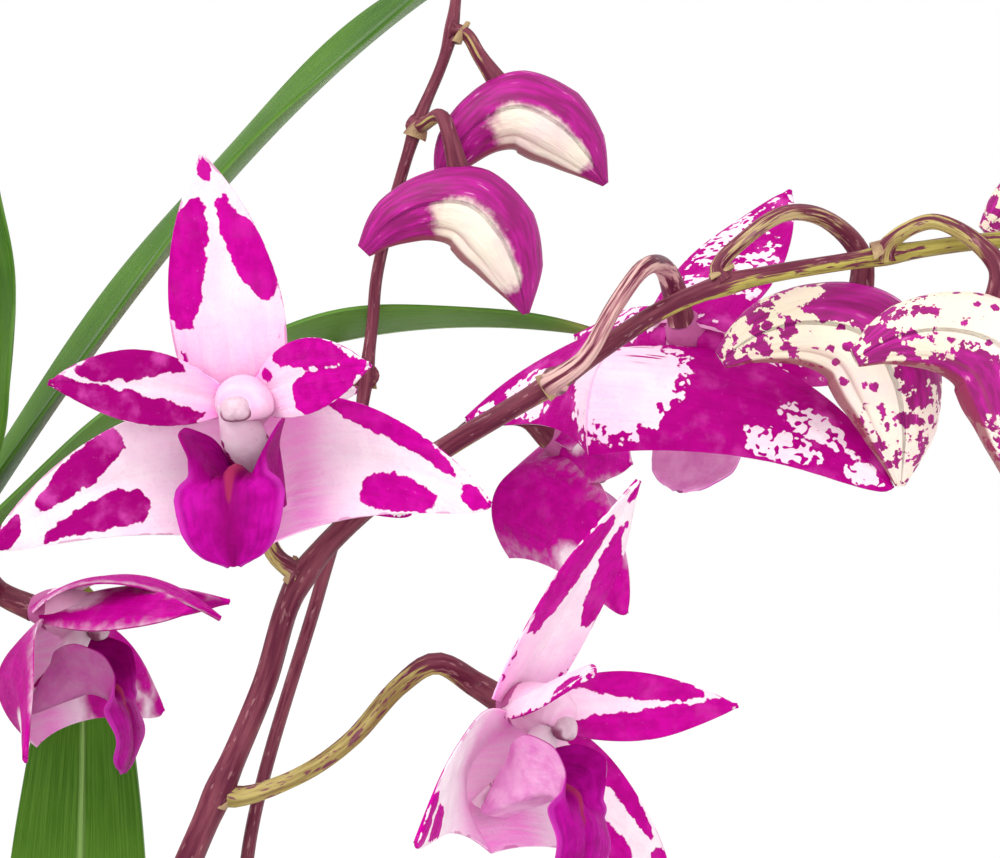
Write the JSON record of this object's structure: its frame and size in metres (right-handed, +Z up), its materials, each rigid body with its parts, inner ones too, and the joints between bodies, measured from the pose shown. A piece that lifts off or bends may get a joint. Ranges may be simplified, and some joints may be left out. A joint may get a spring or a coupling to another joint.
{
  "type": "potted pink rock orchid",
  "caption": "Clump of jointed canes with strap leaves in a round clay pot of bark, with arching stems of starry blotched blooms and horn-shaped buds.",
  "frame": {"origin": "middle of the pot's flat underside", "axes": "+Z up, the best bloom faces -Y, +X to the right seen from the front"},
  "size_m": [0.2254, 0.1934, 0.3493],
  "materials": {
    "clay": "unglazed",
    "bark": "rough bark chips",
    "cane": "waxy plant stem",
    "leaf": "leathery leaf",
    "flower_stem": "fleshy flower stem",
    "petal": "waxy petal, white blotched with magenta",
    "lip": "waxy petal",
    "bud": "waxy bud, cream blotched with magenta"
  },
  "bodies": {
    "root": {"pot": "clay", "bark": "bark", "cane_front": "cane", "cane_tall": "cane", "cane_middle": "cane", "cane_left": "cane", "cane_right": "cane", "cane_low": "cane", "cane_rear": "cane", "cane_old": "cane", "leaf_01": "leaf", "leaf_02": "leaf", "leaf_03": "leaf", "leaf_04": "leaf", "leaf_05": "leaf", "leaf_06": "leaf", "leaf_07": "leaf", "leaf_08": "leaf", "leaf_09": "leaf", "leaf_10": "leaf", "leaf_11": "leaf", "leaf_12": "leaf", "leaf_13": "leaf", "leaf_14": "leaf", "leaf_15": "leaf", "leaf_16": "leaf", "leaf_17": "leaf", "leaf_18": "leaf", "leaf_19": "leaf", "leaf_20": "leaf", "leaf_21": "leaf", "leaf_22": "leaf", "raceme_front": "flower_stem", "raceme_far": "flower_stem", "raceme_left": "flower_stem", "bloom_face": "petal", "bloom_face_lip": "lip", "bloom_side": "petal", "bloom_side_lip": "lip", "bloom_back": "petal", "bloom_back_lip": "lip", "bloom_left": "petal", "bloom_left_lip": "lip", "bloom_far": "petal", "bloom_far_lip": "lip", "bloom_top_left": "petal", "bloom_top_left_lip": "lip", "bloom_low_left": "petal", "bloom_low_left_lip": "lip", "bloom_rear": "petal", "bloom_rear_lip": "lip", "bud_large": "bud", "bud_edge": "bud", "bud_upper": "bud", "bud_end": "bud", "bud_far_upper": "bud", "bud_far_lower": "bud", "bud_far_tip": "bud", "bud_left_upper": "bud", "bud_left_tip": "bud"}
  },
  "joints": []
}
